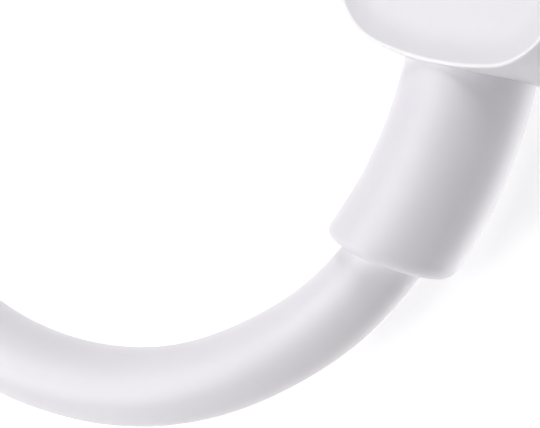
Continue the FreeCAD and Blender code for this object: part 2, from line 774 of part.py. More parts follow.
def make_springs(name, placement):
    """The two ground springs, each a thin plate over the slot with slits between its fingers."""
    width, length, thick = number("spring_width"), number("spring_length"), number("spring_thickness")
    slit_width, slit_length = number("spring_slit"), length * SLIT_SHARE
    rear = number(SPRING_FRONT) - length
    level = number(CARRIER_HEIGHT) / 2 - thick
    solids = []
    for base in (level, -level - thick):
        plate = Part.makeBox(width, length, thick, Vector(-width / 2, rear, base))
        for gap in range(1, SPRING_FINGERS):
            middle = width * (gap / SPRING_FINGERS - 1 / 2)
            corner = Vector(middle - slit_width / 2, rear + (length - slit_length) / 2, base - thick)
            plate = plate.cut(Part.makeBox(slit_width, slit_length, thick * 3, corner))
        solids.append(plate)
    new_feature(name, Part.makeCompound(solids), placement)


def make_chips(name, placement):
    """Two small capacitors on the board's upper face."""
    length, width = number("chip_length"), number("chip_width")
    level = number("board_thickness") / 2
    middle = number(BOARD_REAR + BOARD_FRONT) / 2
    solids = []
    for x in (-number(BOARD_WIDTH) / 4, number(BOARD_WIDTH) / 4):
        corner = Vector(x - length / 2, middle, level)
        chip = Part.makeBox(length, width, width, corner)
        solids.append(chip.makeChamfer(number("chip_bevel"), chip.Edges))
    new_feature(name, Part.makeCompound(solids), placement)


def rounded_route(points):
    """Straight runs joined by tangent arcs through these points, with the radius of each arc."""
    edges, radii = [], []
    last = points[0]
    for before, corner, after in zip(points, points[1:], points[2:]):
        back, ahead = before - corner, after - corner
        half_turn = (math.pi - back.getAngle(ahead)) / 2
        cut = ARC_SHARE * min(back.Length, ahead.Length)
        radius = cut / math.tan(half_turn)
        start = corner + back * (cut / back.Length)
        end = corner + ahead * (cut / ahead.Length)
        inward = (start + end) / 2 - corner
        to_centre = radius / math.cos(half_turn)
        middle = corner + inward * ((to_centre - radius) / inward.Length)
        edges.append(Part.LineSegment(last, start).toShape())
        edges.append(Part.Arc(start, middle, end).toShape())
        radii.append(radius)
        last = end
    edges.append(Part.LineSegment(last, points[-1]).toShape())
    return Part.Wire(edges), radii


def swept(name, wire, diameter, sides, start, way):
    """A tube along a wire that starts level. Its many flat sides lie round the cord's circle, one of them down."""
    across = way.cross(Vector(0, 0, 1)).normalize()
    up = across.cross(way).normalize()
    step = math.pi * 2 / sides
    reach = diameter / 2 / math.cos(step / 2)
    corners = []
    for side in range(sides):
        angle = step * (side + 1 / 2) - math.pi / 2
        corners.append(start + (across * math.cos(angle) + up * math.sin(angle)) * reach)
    ring = Part.makePolygon(corners + corners[:1])
    solid = wire.makePipeShell([ring], True, False)
    expected = Part.Face(ring).Area * wire.Length
    if abs(solid.Volume / expected - 1) > 0.01:
        raise ValueError(f"{name} is not its section times its length")
    return solid


def tube(name, points, diameter, sides, placement=None, printed=False):
    """A tube along a route of its own, whose length it gives back."""
    wire, radii = rounded_route(points)
    solid = swept(name, wire, diameter, sides, points[0], points[1] - points[0])
    if printed:
        print(f"{name}: {wire.Length:.1f} mm long, arc radii", [round(r, 1) for r in radii])
    new_feature(name, solid, placement)
    return wire.Length


def make_wires(side, placement):
    """The insulated wires from the cord's cut end to their pads, three above the board and two below."""
    wire_diameter = number("wire_diameter")
    start_y, pad_y = number("lead_inside"), number(BOARD_REAR)
    run = (pad_y - start_y) / 3
    core = number("cord_core") / 2
    level = number("board_thickness") / 2 + number("tight_gap") + wire_diameter / 2
    for name, core_share, board_share, up in WIRES:
        x0, x1 = core * core_share, number(BOARD_WIDTH) * board_share
        z0, z1 = up * wire_diameter * WIRE_LIFT, up * level
        points = [
            Vector(x0, start_y, z0),
            Vector(x0, start_y + run, z0),
            Vector(x1, pad_y - run / 2, z1),
            Vector(x1, pad_y + number("wire_pad"), z1),
        ]
        tube(f"{side}_{name}", points, wire_diameter, WIRE_SIDES, placement)


# The cord

def mouth_of(placement, bend_radius):
    """The middle of a placed plug's sleeve mouth and the way the cord leaves it."""
    point, way = mouth_in_plug(bend_radius)
    return placement.multVec(point), placement.Rotation.multVec(way)


def biarc(start, start_way, end, end_way):
    """Two arcs that join at a common tangent between two points with given directions."""
    chord = end - start
    ways = start_way + end_way
    bend = 2 * (1 - start_way.dot(end_way))
    along = chord.dot(ways)
    reach = (math.sqrt(along**2 + bend * chord.dot(chord)) - along) / bend
    middle = (start + end + (start_way - end_way) * reach) / 2
    return [tangent_arc(start, start_way, middle), tangent_arc(end, -end_way, middle).reversed()]


def tangent_arc(start, way, end):
    chord = end - start
    unit = chord / chord.Length
    lean = way - unit * way.dot(unit)
    bulge = chord.Length / 2 * math.tan(way.getAngle(unit) / 2)
    return Part.Arc(start, start + chord / 2 + lean * (bulge / lean.Length), end).toShape()


def coil_point(turns, centre, radius, pitch, per_layer, low):
    """A point of the coil after this many turns, which run clockwise from its lowest Y.

    The first layer winds in, the half turn after it climbs, and the second layer winds out.
    """
    if turns <= per_layer:
        out, climb = radius - pitch * turns, 0.0
    elif turns < per_layer + 0.5:
        step = turns - per_layer
        inward = min(step, 0.5 - step)
        out, climb = radius - pitch * (per_layer + inward), step * 2
    else:
        out, climb = radius - pitch * (per_layer * 2 + 0.5 - turns), 1.0
    angle = -math.pi / 2 - turns * math.pi * 2
    rise = pitch * (climb - math.sin(math.pi * 2 * climb) / (math.pi * 2))
    return centre + Vector(math.cos(angle) * out, math.sin(angle) * out, low + rise)


def make_coil(name):
    """The put-away length: a neat two-layer coil, wound in below and out above.

    It gives back the cord's length in it and the middles of its two ends.
    """
    diameter = number("cord_diameter")
    pitch = diameter + number("coil_gap")
    centre = Vector(number("coil_x"), number("coil_y"), 0)
    radius = number("coil_radius")
    per_layer = int(number("coil_layer_turns"))
    total = per_layer * 2 + 0.5

    def point(turns):
        return coil_point(min(max(turns, 0), total), centre, radius, pitch, per_layer, diameter / 2)

    def way(turns):
        low, high = max(turns - NEAR, 0), min(turns + NEAR, total)
        unit = point(high) - point(low)
        return unit / unit.Length

    lead_in, lead_out = Vector(-1, 0, 0), Vector(1, 0, 0)
    stops = [quarter / 4 for quarter in range(int(total * 4) + 1)]
    ways = [lead_in] + [way(stop) for stop in stops[1:-1]] + [lead_out]
    start = point(0) - lead_in * diameter
    edges = [Part.LineSegment(start, point(0)).toShape()]
    for (a, way_a), (b, way_b) in zip(zip(stops, ways), zip(stops[1:], ways[1:])):
        edges += biarc(point(a), way_a, point(b), way_b)
    end = point(total) + lead_out * diameter
    edges.append(Part.LineSegment(point(total), end).toShape())
    wire = Part.Wire(edges)
    solid = swept(name, wire, diameter, CORD_SIDES, start, lead_in)
    new_feature(name, solid)
    print_least_gap(name, wire, diameter)
    return wire.Length, start, end


def print_least_gap(name, wire, diameter):
    """Measures the tube's least gap to itself on points along its middle line, four to a diameter.

    Points less than four diameters apart along the line are neighbours and don't count.
    """
    line = wire.discretize(Distance=diameter / 4)
    apart = 4 * 4
    reach = diameter * 2
    least = min(
        (a - b).Length
        for i, a in enumerate(line)
        for b in line[i + apart:]
        if abs(a.x - b.x) < reach and abs(a.y - b.y) < reach
    )
    print(f"{name}: {wire.Length:.1f} mm long, least gap to itself {least - diameter:.2f} mm")


# Points of the free cord after its first run, as X, Y and a share of the height.
# The share is 0 where the cord lies on the surface and 1 at the middle of the plug.
FREE_POINTS = (
    (-5.3, -27.1, 0.93),
    (-7.7, -28.85, 0.79),
    (-10.5, -29.95, 0.62),
    (-13.45, -30.4, 0.41),
    (-16.5, -30.2, 0.24),
    (-19.5, -29.8, 0.1),
    (-22.5, -29.3, 0.03),
    (-25.4, -28.4, 0.0),
    (-31.0, -27.7, 0.0),
    (-40.5, -29.4, 0.0),
)
FIRST_RUN = 3.0
LAST_RUN = 8.0

# Points of the tail between the coil and the far plug, as X, Y and a share of the height.
# The share is 0 at the middle of the plug and 1 at the coil's upper layer.
TAIL_POINTS = (
    (-48.55, 22.1, 0.5),
)
TAIL_RUN = 4.8


def make_cords(near, far):
    """The free cord from the near plug to the coil, the coil, and the tail from it to the far plug."""
    diameter = number("cord_diameter")
    low = diameter / 2
    raise_by = number(MID_HEIGHT) - low
    coil_length, coil_start, coil_end = make_coil("cord_coil")

    mouth, way = mouth_of(near, "near_bend_radius")
    free = [mouth, mouth + way * FIRST_RUN]
    free += [Vector(x, y, low + raise_by * share) for x, y, share in FREE_POINTS]
    free += [coil_start + Vector(LAST_RUN, 0, 0), coil_start]
    free_length = tube("cord_free", free, diameter, CORD_SIDES, printed=True)

    far_mouth, far_way = mouth_of(far, "far_bend_radius")
    climb = coil_end.z - far_mouth.z
    tail = [coil_end, coil_end + Vector(TAIL_RUN, 0, 0)]
    tail += [Vector(x, y, far_mouth.z + climb * share) for x, y, share in TAIL_POINTS]
    tail += [far_mouth + far_way * TAIL_RUN, far_mouth]
    tail_length = tube("cord_tail", tail, diameter, CORD_SIDES, printed=True)

    jacket = free_length + coil_length + tail_length
    ends = number(TIP + "sleeve_length") * 2
    print(f"free cord {jacket:.0f} mm, whole cable {jacket + ends:.0f} mm from tip to tip")


def make_plug(side, placement, bend_radius):
    """All the pieces of one plug, each named after its side."""
    make_housing(f"{side}_housing", placement)
    make_mould(f"{side}_inner_mould", placement)
    make_shell(f"{side}_plug_shell", placement)
    make_carrier(f"{side}_contact_carrier", placement)
    make_contacts(f"{side}_contacts_upper", placement, UPPER_PLACES, lower=False)
    make_contacts(f"{side}_contacts_lower", placement, LOWER_PLACES, lower=True)
    make_latch(f"{side}_latch_plate", placement)
    make_springs(f"{side}_ground_springs", placement)
    make_board(f"{side}_circuit_board", placement)
    make_chips(f"{side}_capacitors", placement)
    make_half_can(f"{side}_shield_can_upper", placement, upper=True)
    make_half_can(f"{side}_shield_can_lower", placement, upper=False)
    make_sleeve(f"{side}_strain_relief", placement, bend_radius)
    make_lead(f"{side}_cord_lead", placement, bend_radius)
    make_wires(side, placement)


def check_and_write():
    """Stops on any failed object or bad shape, and then writes one file for each piece."""
    doc.recompute()
    for thing in doc.Objects:
        if "Invalid" in thing.State or "Error" in thing.State:
            raise ValueError(f"{thing.Name} failed: {thing.State}")
    pieces = [o for o in doc.Objects if o.TypeId in ("PartDesign::Body", "Part::Feature")]
    for piece in pieces:
        if piece.Shape.isNull() or not piece.Shape.isValid():
            raise ValueError(f"{piece.Label} has a bad shape")
    os.makedirs("parts", exist_ok=True)
    for piece in pieces:
        piece.Shape.exportStep(f"parts/{piece.Label}.step")
    print(f"{len(pieces)} pieces written")


near_place = FreeCAD.Placement(Vector(0, -TIP.number / 2, MID_HEIGHT.number), FreeCAD.Rotation())
far_place = FreeCAD.Placement(
    Vector(number("far_x"), number("far_y"), MID_HEIGHT.number),
    FreeCAD.Rotation(Vector(0, 0, 1), number("far_turn")),
)
make_plug("near", near_place, "near_bend_radius")
make_plug("far", far_place, "far_bend_radius")
make_cords(near_place, far_place)
check_and_write()
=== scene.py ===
import json
import math
import bmesh
import bpy
from mathutils import Matrix, Vector


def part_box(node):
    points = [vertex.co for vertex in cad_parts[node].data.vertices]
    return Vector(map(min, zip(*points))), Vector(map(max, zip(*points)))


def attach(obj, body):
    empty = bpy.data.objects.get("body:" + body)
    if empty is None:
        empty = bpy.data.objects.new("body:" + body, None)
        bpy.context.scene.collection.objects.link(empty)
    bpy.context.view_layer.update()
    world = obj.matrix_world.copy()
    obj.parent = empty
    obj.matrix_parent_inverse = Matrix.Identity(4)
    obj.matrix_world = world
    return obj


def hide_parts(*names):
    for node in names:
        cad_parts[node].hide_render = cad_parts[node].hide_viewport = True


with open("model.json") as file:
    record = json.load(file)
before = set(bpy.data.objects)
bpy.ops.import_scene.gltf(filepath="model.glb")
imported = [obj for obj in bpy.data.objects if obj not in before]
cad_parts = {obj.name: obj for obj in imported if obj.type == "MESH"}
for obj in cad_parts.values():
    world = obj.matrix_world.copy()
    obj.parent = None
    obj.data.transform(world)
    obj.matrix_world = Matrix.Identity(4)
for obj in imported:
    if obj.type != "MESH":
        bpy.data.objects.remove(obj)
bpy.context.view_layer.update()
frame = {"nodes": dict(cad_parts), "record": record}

# A charging cable: two slim reversible plugs on one round white cord, most of it in a neat coil.
# Everything is in metres. Each plug is drawn in its own frame, tip towards +Y, the back of its
# housing at y = 0 and mid height at z = 0, and is then put in its place.

MM = 0.001
UP = Vector((0, 0, 1))

# The two plugs, from the frame
near_low, near_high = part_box("near_housing")
far_low, far_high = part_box("far_housing")
HOUSING_WIDTH = near_high.x - near_low.x
HOUSING_LENGTH = near_high.y - near_low.y
HOUSING_HEIGHT = near_high.z - near_low.z
MID_HEIGHT = (near_low.z + near_high.z) / 2
TIP_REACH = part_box("near_plug_shell")[1].y - near_high.y
NEAR_PLACE = Matrix.Translation((0, near_low.y, MID_HEIGHT))
FAR_MIDDLE = (far_low.y + far_high.y) / 2
FAR_TURN = Matrix.Rotation(-math.pi / 2, 4, "Z")
FAR_PLACE = Matrix.Translation((far_low.x, FAR_MIDDLE, MID_HEIGHT)) @ FAR_TURN
PLUGS = {"near": NEAR_PLACE, "far": FAR_PLACE}

CORD_DIAMETER = 3.5 * MM
# Edges that turn by less than this are smooth, and points closer than this are one.
SMOOTH_ANGLE = math.radians(32)
WELD_DISTANCE = 1e-7


# Camera

CAMERA_TILT = math.radians(34.28)
CAMERA_ROLL = math.radians(12.56)
CAMERA_DISTANCE = 0.85
VIEW_WIDTH = 23.55 * MM
LOOK_AT = Vector((-10.8, -21.18, 0)) * MM
SENSOR_WIDTH = 36.0
NEAREST, FARTHEST = 0.01, 100


def make_camera():
    """A long lens, tilted towards +X and rolled, as the photograph was taken."""
    back = Vector((math.sin(CAMERA_TILT), 0, math.cos(CAMERA_TILT)))
    level = Vector((math.cos(CAMERA_TILT), 0, -math.sin(CAMERA_TILT)))
    ahead = Vector((0, 1, 0))
    right = level * math.cos(CAMERA_ROLL) + ahead * math.sin(CAMERA_ROLL)
    up = ahead * math.cos(CAMERA_ROLL) - level * math.sin(CAMERA_ROLL)
    data = bpy.data.cameras.new("camera")
    data.sensor_width = SENSOR_WIDTH
    data.lens = SENSOR_WIDTH * CAMERA_DISTANCE / VIEW_WIDTH
    data.clip_start = NEAREST
    data.clip_end = FARTHEST
    camera = bpy.data.objects.new("camera", data)
    bpy.context.scene.collection.objects.link(camera)
    turn = Matrix((right, up, back)).transposed().to_4x4()
    camera.matrix_world = Matrix.Translation(LOOK_AT + back * CAMERA_DISTANCE) @ turn
    bpy.context.scene.camera = camera


# Cord

# The route from the near plug's crimp to the coil, as X, Y and Z in millimetres.
NEAR_ROUTE = (
    (0, -8.3, 3.2),
    (0, -11.3, 3.2),
    (-0.05, -15.6, 3.2),
    (-1.2, -20.0, 3.2),
    (-3.13, -23.38, 3.15),
    (-5.09, -25.51, 3.0),
    (-7.49, -27.25, 2.8),
    (-10.06, -28.63, 2.5),
    (-12.9, -29.6, 2.25),
    (-15.85, -30.05, 2.0),
    (-18.85, -30.05, 1.85),
    (-21.85, -29.6, 1.76),
    (-24.7, -28.6, 1.75),
    (-28.2, -27.85, 1.75),
    (-33.5, -28.1, 1.75),
    (-41.0, -30.6, 1.75),
    (-49.7, -32.4, 1.75),
)
# The route from the coil to the far plug's crimp.
FAR_ROUTE = (
    (-53.5, 21.8, 5.75),
    (-49.4, 21.9, 5.2),
    (-45.4, 21.6, 4.1),
    (-41.5, 20.95, 3.25),
    (-36.5, 20.45, 3.2),
    (-32.0, 20.4, 3.2),
    (-28.4, 20.4, 3.2),
    (-25.4, 20.4, 3.2),
)
COIL_CENTRE = Vector((-61.2, -5.3, 0)) * MM
COIL_RADIUS = 27.1 * MM
COIL_PITCH = 4.0 * MM
COIL_LAYER_TURNS = 3
COIL_CLIMB_TURNS = 0.5
COIL_TURNS = COIL_LAYER_TURNS * 2 + COIL_CLIMB_TURNS
POINTS_PER_TURN = 24
# How finely the cord is drawn, along it and round it.
CORD_STEPS = 10
CORD_ROUNDNESS = 10


def coil_point(turns):
    """A point of the coil, which winds in below, climbs in half a turn and winds out above."""
    if turns <= COIL_LAYER_TURNS:
        inward = turns
        climb = 0.0
    elif turns < COIL_LAYER_TURNS + COIL_CLIMB_TURNS:
        step = turns - COIL_LAYER_TURNS
        inward = COIL_LAYER_TURNS + min(step, COIL_CLIMB_TURNS - step)
        climb = step / COIL_CLIMB_TURNS
    else:
        inward = COIL_TURNS - turns
        climb = 1.0
    out = COIL_RADIUS - COIL_PITCH * inward
    angle = -math.pi / 2 - turns * math.pi * 2
    rise = COIL_PITCH * (climb - math.sin(math.pi * 2 * climb) / (math.pi * 2))
    out /= math.cos(math.pi / POINTS_PER_TURN)
    flat = Vector((math.cos(angle), math.sin(angle), 0)) * out
    return COIL_CENTRE + flat + UP * (CORD_DIAMETER / 2 + rise)


def make_cord():
    """One unbroken cord, from the crimp of one plug to the crimp of the other."""
    steps = int(COIL_TURNS * POINTS_PER_TURN)
    points = [Vector(p) * MM for p in NEAR_ROUTE]
    points += [coil_point(COIL_TURNS * i / steps) for i in range(steps + 1)]
    points += [Vector(p) * MM for p in FAR_ROUTE]
    curve = bpy.data.curves.new("cord", "CURVE")
    curve.dimensions = "3D"
    spline = curve.splines.new("NURBS")
    spline.points.add(len(points) - 1)
    for point, place in zip(spline.points, points):
        point.co = (*place, 1)
    spline.order_u = 3
    spline.use_endpoint_u = True
    curve.resolution_u = CORD_STEPS
    curve.bevel_depth = CORD_DIAMETER / 2
    curve.bevel_resolution = CORD_ROUNDNESS
    curve.use_fill_caps = True
    spline.use_smooth = True
    return add_object("cord", curve)


# Mesh helpers

def add_object(name, data):
    thing = bpy.data.objects.new(name, data)
    bpy.context.scene.collection.objects.link(thing)
    return thing


def make_mesh(name, points, faces, place):
    """A mesh piece whose points are given in the plug's own frame."""
    mesh = bpy.data.meshes.new(name)
    mesh.from_pydata([place @ Vector(p) for p in points], [], faces)
    work = bmesh.new()
    work.from_mesh(mesh)
    bmesh.ops.remove_doubles(work, verts=work.verts, dist=WELD_DISTANCE)
    bmesh.ops.recalc_face_normals(work, faces=work.faces)
    work.to_mesh(mesh)
    work.free()
    mesh.shade_smooth()
    mesh.set_sharp_from_angle(angle=SMOOTH_ANGLE)
    mesh.update()
    return add_object(name, mesh)


def ring_faces(rings, count):
    """Quads between rings that follow each other, each a closed loop of this many points."""
    faces = []
    for ring in range(rings - 1):
        for i in range(count):
            j = (i + 1) % count
            low, high = ring * count, (ring + 1) * count
            faces.append((low + i, low + j, high + j, high + i))
    return faces


def arc_points(radius, start, end, count):
    return [(radius * math.cos(a), radius * math.sin(a)) for a in spaced(start, end, count)]


def spaced(start, end, count):
    """This many values from start to just before end."""
    return [start + (end - start) * i / count for i in range(count)]


# Housing

REAR_BOW = 15.5 * MM
REAR_CORNER = 3.6 * MM
RIM_PLAN_WIDTH = HOUSING_WIDTH - 0.25 * MM
WALL_CROWN = 0.22 * MM
FRONT_CORNER = 2.0 * MM
EDGE_ROUND = 0.1 * MM
RIM_WIDTH = 0.19 * MM
RIM_LIP = 0.02 * MM
RIM_LIP_DROP = RIM_LIP / 3
DISH_SLOPE = 1.5 * MM
DISH_DEPTH = 0.26 * MM
# The dish's first ring, which keeps the rim's edge crisp, as a share of the slope.
DISH_FIRST_SHARE = 0.015
CAVITY_WALL = 0.9 * MM
CAVITY_REAR = 1.6 * MM
CAVITY_ROUND = 0.25 * MM
BOW_POINTS = 40
CORNER_POINTS = 24
SIDE_POINTS = 14
FRONT_POINTS = 12
WALL_STEPS = 16
RIM_STEPS = 8
DISH_STEPS = 12
DISH_COLUMNS = 10
CAVITY_STEPS = 5


def plan_half(inset):
    """The right half of the rim's outline from above, from the middle of its back to its front."""
    across = RIM_PLAN_WIDTH / 2 - REAR_CORNER
    corner_y = REAR_BOW - math.sqrt((REAR_BOW - REAR_CORNER) ** 2 - across**2)
    slant = math.atan2(corner_y - REAR_BOW, across)
    front_across = RIM_PLAN_WIDTH / 2 - FRONT_CORNER
    front_y = HOUSING_LENGTH - FRONT_CORNER
    bow = REAR_BOW - inset
    corner = REAR_CORNER - inset
    front = FRONT_CORNER - inset
    points = [(x, REAR_BOW + y) for x, y in arc_points(bow, -math.pi / 2, slant, BOW_POINTS)]
    points += [(across + x, corner_y + y) for x, y in arc_points(corner, slant, 0, CORNER_POINTS)]
    side = RIM_PLAN_WIDTH / 2 - inset
    points += [(side, y) for y in spaced(corner_y, front_y, SIDE_POINTS)]
    front_corner = arc_points(front, 0, math.pi / 2, CORNER_POINTS)
    points += [(front_across + x, front_y + y) for x, y in front_corner]
    points += [(x, HOUSING_LENGTH - inset) for x in spaced(front_across, 0, FRONT_POINTS)]
    points.append((0, HOUSING_LENGTH - inset))
    return points


def plan_loop(inset):
    half = plan_half(inset)
    return half + [(-x, y) for x, y in reversed(half[1:-1])]


def rim_profile():
    """Inset and drop below the top, from the side wall to the inner lip of the rim."""
    profile = [
        (EDGE_ROUND * (1 - math.cos(a)), EDGE_ROUND * (1 - math.sin(a)))
        for a in spaced(0, math.pi / 2, RIM_STEPS)
    ]
    profile.append((EDGE_ROUND, 0))
    profile.append((RIM_WIDTH - RIM_LIP, 0))
    profile.append((RIM_WIDTH, RIM_LIP_DROP))
    return profile


def dish_profile():
    """Inset and drop from just inside the rim to the floor of the dish, steepest at the rim."""
    profile = []
    for share in [DISH_FIRST_SHARE, *spaced(1 / DISH_STEPS, 1, DISH_STEPS - 1), 1]:
        drop = RIM_LIP_DROP + (DISH_DEPTH - RIM_LIP_DROP) * (1 - (1 - share) ** 2)
        profile.append((RIM_WIDTH + DISH_SLOPE * share, drop))
    return profile


def make_cover(side, place):
    """The moulded cover: bowed back, crowned walls, rimmed and dished faces, and an open cavity."""
    half_height = HOUSING_HEIGHT / 2
    rim, dish = rim_profile(), dish_profile()
    upper = [(inset, half_height - drop) for inset, drop in rim + dish]
    sections = [(inset, -z) for inset, z in reversed(upper)]
    wall = half_height - EDGE_ROUND
    for z in spaced(-wall, wall, WALL_STEPS)[1:]:
        sections.append((-WALL_CROWN * (1 - (z / wall) ** 2), z))
    sections += upper
    points = []
    count = len(plan_loop(0))
    for inset, z in sections:
        points += [(x, y, z) for x, y in plan_loop(inset)]
    faces = ring_faces(len(sections), count)
    floor_inset = dish[-1][0]
    last_ring = (len(sections) - 1) * count
    for z, first in ((sections[0][1], 0), (sections[-1][1], last_ring)):
        faces += dish_floor(points, floor_inset, z, first, count)
    cover = make_mesh(f"{side}_cover", points, faces, place)
    rings = len(sections) - 1
    # The rim's faces take the second material, whose lighter colour is a painted highlight.
    rim_rings = {*range(len(dish), len(dish) + len(rim) - 1)}
    rim_rings |= {rings - 1 - ring for ring in rim_rings}
    for polygon in cover.data.polygons:
        if polygon.index // count in rim_rings:
            polygon.material_index = 1
    hollow_out(cover, side, place)
    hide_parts(f"{side}_housing")
    return cover


def dish_floor(points, inset, z, first, count):
    """The flat of the dish as rows from side to side, inside the ring that starts at this point."""
    half = plan_half(inset)
    last = len(half) - 1
    faces = []

    def row(i):
        left = first + (count - i) % count
        right = first + i
        if i in (0, last):
            return [right]
        x, y = half[i]
        made = [left]
        for k in range(1, DISH_COLUMNS):
            made.append(len(points))
            points.append((x * (2 * k / DISH_COLUMNS - 1), y, z))
        return made + [right]

    rows = [row(i) for i in range(last + 1)]
    for a, b in zip(rows, rows[1:]):
        if len(a) == 1:
            faces += [(a[0], b[k + 1], b[k]) for k in range(DISH_COLUMNS)]
        elif len(b) == 1:
            faces += [(a[k], a[k + 1], b[0]) for k in range(DISH_COLUMNS)]
        else:
            faces += [(a[k], a[k + 1], b[k + 1], b[k]) for k in range(DISH_COLUMNS)]
    return faces


def hollow_out(cover, side, place):
    """Cuts the cavity, with rounded edges, out of the closed cover."""
    half_height = HOUSING_HEIGHT / 2 - CAVITY_WALL
    sections = []
    for a in spaced(0, math.pi / 2, CAVITY_STEPS):
        inset = CAVITY_ROUND * (1 - math.sin(a))
        sections.append((inset, -half_height + CAVITY_ROUND * (1 - math.cos(a))))
    sections.append((0, -half_height + CAVITY_ROUND))
    sections += [(inset, -z) for inset, z in reversed(sections)]
    points = []
    count = len(plan_loop(0))
    for inset, z in sections:
        loop = []
        for x, y in plan_half(CAVITY_WALL + inset):
            if y > HOUSING_LENGTH / 2:
                loop.append((x, y + FRONT_CORNER + CAVITY_WALL))
            else:
                loop.append((x, max(y, CAVITY_REAR + inset)))
        loop += [(-x, y) for x, y in reversed(loop[1:-1])]
        points += [(x, y, z) for x, y in loop]
    faces = ring_faces(len(sections), count)
    faces.append(tuple(range(count)))
    faces.append(tuple(reversed(range(len(points) - count, len(points)))))
    cutter = make_mesh(f"{side}_cavity", points, faces, place)
    modifier = cover.modifiers.new("cavity", "BOOLEAN")
    modifier.operation = "DIFFERENCE"
    modifier.object = cutter
    modifier.solver = "EXACT"
    graph = bpy.context.evaluated_depsgraph_get()
    mesh = bpy.data.meshes.new_from_object(cover.evaluated_get(graph))
    cover.modifiers.clear()
    cover.data = mesh
    mesh.shade_smooth()
    mesh.set_sharp_from_angle(angle=SMOOTH_ANGLE)
    bpy.data.objects.remove(cutter)


# Sleeve

SLEEVE_RADIUS = 2.93 * MM
SLEEVE_TAPER = 0.1 * MM
SLEEVE_LENGTH = 9.12 * MM
SLEEVE_SEAT = 0.45 * MM
# The share of the length that is plain, before the mouth's rounding.
SLEEVE_PLAIN_SHARE = 0.8
BEND_RADIUS = {"near": 18.1 * MM, "far": 60 * MM}
SLEEVE_AROUND = 96
SLEEVE_ROWS = 40
MOUTH_ROWS = 12
# A bent sleeve is pulled askew: how much longer one side is, the middle and the swing of the
# mouth's rounding, and where round the sleeve the length is most and the rounding least, from
# the inner side of the bend.
MOUTH_SKEW = {"near": 0.66 * MM, "far": 0.15 * MM}
MOUTH_SKEW_TURN = math.radians(2)
MOUTH_ROUND = 0.7 * MM
MOUTH_ROUND_SWING = {"near": 0.3 * MM, "far": 0.05 * MM}
MOUTH_ROUND_TURN = math.radians(45)
# How far the cord leans to the inner side of the bend in its bore.
BORE_LEAN = {"near": 0.08 * MM, "far": 0.0}
BORE_RADIUS = CORD_DIAMETER / 2 + 0.02 * MM
BORE_DEPTH = 3 * MM
# The lip of the bore, which is bevelled and then runs straight in.
LIP_RADIUS = BORE_RADIUS + 0.03 * MM
LIP_BEVEL = 0.02 * MM
LIP_DEPTH = 0.1 * MM


def sleeve_point(side, along, turn, radius):
    """A point this far back from the housing and this turn round from the bend's inner side."""
    bend = BEND_RADIUS[side]
    swing = max(along, 0) / bend
    middle = Vector((-bend * (1 - math.cos(swing)), -bend * math.sin(swing) - min(along, 0), 0))
    across = Vector((-math.cos(swing), math.sin(swing), 0))
    return middle + (across * math.cos(turn) + UP * math.sin(turn)) * radius


def sleeve_radius(along):
    """The sleeve is a little slimmer towards its mouth."""
    return SLEEVE_RADIUS - SLEEVE_TAPER * (max(along, 0) / SLEEVE_LENGTH) ** 2


def make_sleeve(side, place):
    """The soft strain relief: a bent round sleeve with a rounded mouth, which the cord leaves."""
    turns = spaced(0, math.pi * 2, SLEEVE_AROUND)
    points = [sleeve_point(side, -SLEEVE_SEAT, turn, SLEEVE_RADIUS / 2) for turn in turns]
    for along in (-SLEEVE_SEAT, *spaced(0, SLEEVE_LENGTH * SLEEVE_PLAIN_SHARE, SLEEVE_ROWS)):
        points += [sleeve_point(side, along, turn, sleeve_radius(along)) for turn in turns]
    rounding = []
    for turn in turns:
        mouth = SLEEVE_LENGTH + MOUTH_SKEW[side] * math.cos(turn - MOUTH_SKEW_TURN)
        edge = MOUTH_ROUND - MOUTH_ROUND_SWING[side] * math.cos(turn - MOUTH_ROUND_TURN)
        rounding.append((turn, mouth, edge))
    for a in spaced(0, math.pi / 2, MOUTH_ROWS):
        for turn, mouth, edge in rounding:
            along = mouth - edge * (1 - math.sin(a))
            radius = sleeve_radius(along) - edge * (1 - math.cos(a))
            points.append(sleeve_point(side, along, turn, radius))
    bore_rings = (
        (0, LIP_RADIUS + LIP_BEVEL),
        (LIP_BEVEL, LIP_RADIUS - LIP_BEVEL),
        (LIP_DEPTH, BORE_RADIUS),
        (BORE_DEPTH, BORE_RADIUS),
    )
    for back, radius in bore_rings:
        for turn, mouth, edge in rounding:
            lean = BORE_LEAN[side] * math.cos(turn)
            points.append(sleeve_point(side, mouth - back, turn, radius + lean))
    faces = ring_faces(len(points) // SLEEVE_AROUND, SLEEVE_AROUND)
    faces.append(tuple(range(SLEEVE_AROUND)))
    sleeve = make_mesh(f"{side}_sleeve", points, faces, place)
    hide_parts(f"{side}_strain_relief")
    return sleeve


# Steel shell of the plug

SHELL_WIDTH = 8.25 * MM
SHELL_HEIGHT = 2.4 * MM
SHELL_WALL = 0.25 * MM
SHELL_HOLD = 7.4 * MM
SHELL_LIP = 0.12 * MM
SHELL_ROWS = 12
SHELL_LIP_ROWS = 14
SHELL_SIDE_POINTS = 18


def obround(radius, count):
    """The section of the shell at this radius of its round ends, with this many points a side."""
    reach = (SHELL_WIDTH - SHELL_HEIGHT) / 2
    end = arc_points(radius, -math.pi / 2, math.pi / 2, count)
    flat = [reach * (1 - 2 * t) for t in spaced(0, 1, count)]
    loop = [(reach + x, z) for x, z in end]
    loop += [(x, radius) for x in flat]
    loop += [(-reach - x, -z) for x, z in end]
    loop += [(-x, -radius) for x in flat]
    return loop


